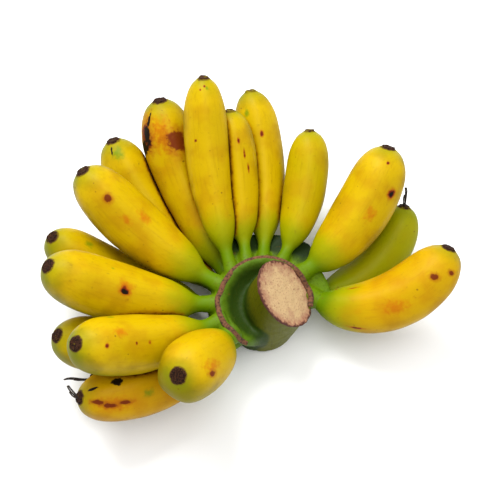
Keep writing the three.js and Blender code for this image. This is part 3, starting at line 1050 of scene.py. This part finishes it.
# %% Peel: shine and relief
SCAB_DULLER = 0.4
satin = {"From_Min": 0.3, "From_Max": 0.7, "To_Min": 0.4, "To_Max": 0.52}
shine = add_node(tree, RANGE, Value=mottle, **satin)
dullness = add_node(tree, MATH, TIMES_PLUS, i0=fact["scab"], i1=SCAB_DULLER, i2=shine)
relief = add_node(tree, MATH, TIMES_PLUS, i0=ragged, i1=4.0, i2=grit)
end_material(tree, colour, dullness, relief, 0.06 * MM, 0.7, IOR=WAX_IOR, Specular_IOR_Level=0.1)
for skin in skins.values():
    skin.data.materials.append(peel)
print("peel:", len(PEEL_LAYERS), "layers of colour")

# %% [markdown]
# ## The crown's tissue, the cut, and what has dried
#
# The crown is the same waxy green as the stalks, darker and duller on the stub of stem, with
# fine fibres that run up the stem. Shade is painted into its green as darker colour in the
# hollow inside the rim and in the sunken webs behind the stem. The cut is dry, matt and
# fibrous, like pale cork. The leaf scar and the flower threads are dead tissue: dark, rough and
# without shine.

# %% Green crown tissue
crown_material = bpy.data.materials.new("green_crown_tissue")
tree, place = new_material(crown_material)
fact = facts_for(tree, ("on_stem", "past_rim", "sunk_web_shade"))
along = add_node(tree, ATTRIBUTE, {"attribute_name": "along_stem"}).outputs["Vector"]
stretched = add_node(tree, "ShaderNodeMapping", Vector=along, Scale=(0.08, 1, 1))
mottle = grain(tree, place, 16, 3.0)
ragged = grain(tree, place, 4, 4.0)
fibres = grain(tree, stretched, 1.4, 3.0)
CROWN_LAYERS = (
    ("inside the rim", "#48640A", fact["past_rim"], ragged, 3.0, 0.5, -1.0, 0.9),
    # Painted shade: the hollow deep inside the rim is painted dark green.
    ("painted valley shade", "#1E3206", fact["past_rim"], ragged, 3.0, -3.0, -8.0, 0.9),
    ("stub of stem", "#565804", fact["on_stem"], ragged, 0.4, 0.2, 0.9, 1.0),
    ("stem fibres", "#363C04", fibres, None, 0, 0.5, 0.75, 0.45),
    # Painted shade: the webs between the stalks behind the stem are painted near black.
    ("painted shade in the sunken webs", "#0E2006", fact["sunk_web_shade"], ragged, 0.4, 0.1, 0.8, 0.95),
    ("brown flecks", "#5A4410", ragged, None, 0, 0.64, 0.74, 0.5),
)
colour = painted(tree, STALK_GREEN, CROWN_LAYERS)
relief = add_node(tree, MATH, TIMES_PLUS, i0=ragged, i1=2.0, i2=fibres)
waxy = {"From_Min": 0.3, "From_Max": 0.7, "To_Min": 0.45, "To_Max": 0.6}
dullness = add_node(tree, RANGE, Value=ragged, **waxy)
end_material(tree, colour, dullness, relief, 0.2 * MM, 0.7, IOR=WAX_IOR, Specular_IOR_Level=0.15)
crown.data.materials.append(crown_material)

# %% The dry cut and its fibre bundles
cut_material = bpy.data.materials.new("dry_cut_stem")
for material, ground in ((cut_material, "#BEA074"), (fibre_material, "#A88662")):
    tree, place = new_material(material)
    from_middle = facts_for(tree, ("from_middle",))["from_middle"]
    mottle = grain(tree, place, 7, 3.0)
    ragged = grain(tree, place, 2.2, 4.0)
    layers = [
        ("pinkish patches", "#9A6C54", from_middle, mottle, 1.6, 0.45, 1.05, 0.6),
        ("pits", "#7A4E38", ragged, None, 0, 0.58, 0.72, 0.6),
    ]
    if material is cut_material:
        layers += [
            ("drying edge", "#96644C", from_middle, ragged, 0.5, 0.76, 1.0, 0.85),
            ("dry rim", "#4A1E12", from_middle, ragged, 0.35, 0.93, 1.03, 1.0),
        ]
    colour = painted(tree, ground, layers)
    dullness = add_node(tree, RANGE, Value=ragged, To_Min=0.7, To_Max=0.9)
    end_material(tree, colour, dullness, ragged, 0.5 * MM, 0.8)
cut.data.materials.append(cut_material)

# %% Dead tissue: leaf scar and flower threads
DEAD_FINISHES = (
    # material, its ground colour, its dark colour, the size of its grain in mm
    (scar_material, "#6A4024", "#30180A", 1.6),
    (thread_material, "#2C1E14", "#0E0A08", 0.8),
)
for material, ground, dark, grain_size in DEAD_FINISHES:
    tree, place = new_material(material)
    ragged = grain(tree, place, grain_size, 4.0)
    colour = painted(tree, ground, (("dark grain", dark, ragged, None, 0, 0.42, 0.65, 0.9),))
    dullness = add_node(tree, RANGE, Value=ragged, To_Min=0.75, To_Max=0.95)
    end_material(tree, colour, dullness, ragged, 0.4 * MM, 0.9)

# %% Each piece rides on the one body and stands for its plain solid
for name, skin in skins.items():
    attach(skin, "root")
    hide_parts(name)
for piece in (crown, cut, bundles, scar):
    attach(piece, "root")
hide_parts(CROWN)
for name, flower in flowers.items():
    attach(flower, "root")
    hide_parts(name)

# %% [markdown]
# ## Floor, light and camera
#
# The hand lies on a plain white surface under a soft, bright sky, with one large lamp behind it
# and one above it, so the tops glow and the near undersides fall into soft olive shade.

# %% Floor and lights
FLOOR_REACH, FLOOR_HEIGHT = 6.0, -0.3 * MM
SKY_STRENGTH = 0.75
FLOOR_CORNERS = ((-1, -1), (1, -1), (1, 1), (-1, 1))
corners = [(x * FLOOR_REACH, y * FLOOR_REACH, FLOOR_HEIGHT) for x, y in FLOOR_CORNERS]
floor = mesh_object("floor", corners, [(0, 1, 2, 3)])
paint = bpy.data.materials.new("matt_white_paint")
paint.use_nodes = True
paint_inputs = paint.node_tree.nodes["Principled BSDF"].inputs
paint_inputs["Base Color"].default_value = linear("#F7F7F7")
paint_inputs["Roughness"].default_value = 0.9
floor.data.materials.append(paint)

LIGHTS = (
    # name, place in metres from the middle, width, watts
    ("key", (-0.3, 0.6, 0.95), 0.7, 15.0),
    ("overhead", (0.3, -0.1, 1.3), 1.2, 10.0),
)
for name, offset, side, watts in LIGHTS:
    lamp = bpy.data.lights.new(name, "AREA")
    lamp.shape, lamp.size, lamp.energy = "DISK", side, watts
    light = new_object(name, lamp)
    light.location = CAD_MIDDLE + Vector(offset)
    light.rotation_euler = (-Vector(offset)).to_track_quat("-Z", "Y").to_euler()
world = bpy.data.worlds.new("soft_sky")
world.use_nodes = True
sky_inputs = world.node_tree.nodes["Background"].inputs
sky_inputs["Color"].default_value = linear("#FFFFFF")
sky_inputs["Strength"].default_value = SKY_STRENGTH
bpy.context.scene.world = world
bpy.context.scene.view_settings.view_transform = "Standard"

# %% Camera
AIM_OFFSET = Vector((-5.75, 0.7, 6.4)) * MM  # from the hand's middle
ELEVATION = math.radians(66)
DISTANCE = 700 * MM
FOCAL_LENGTH, SENSOR_WIDTH = 82.6, 36  # in mm, as Blender wants them
lens = bpy.data.cameras.new("camera")
lens.lens, lens.sensor_width = FOCAL_LENGTH, SENSOR_WIDTH
lens.clip_start, lens.clip_end = 0.05, 20
camera = new_object("camera", lens)
back = Vector((0, -math.cos(ELEVATION), math.sin(ELEVATION)))
camera.location = CAD_MIDDLE + AIM_OFFSET + back * DISTANCE
camera.rotation_euler = (-back).to_track_quat("-Z", "Y").to_euler()
bpy.context.scene.camera = camera
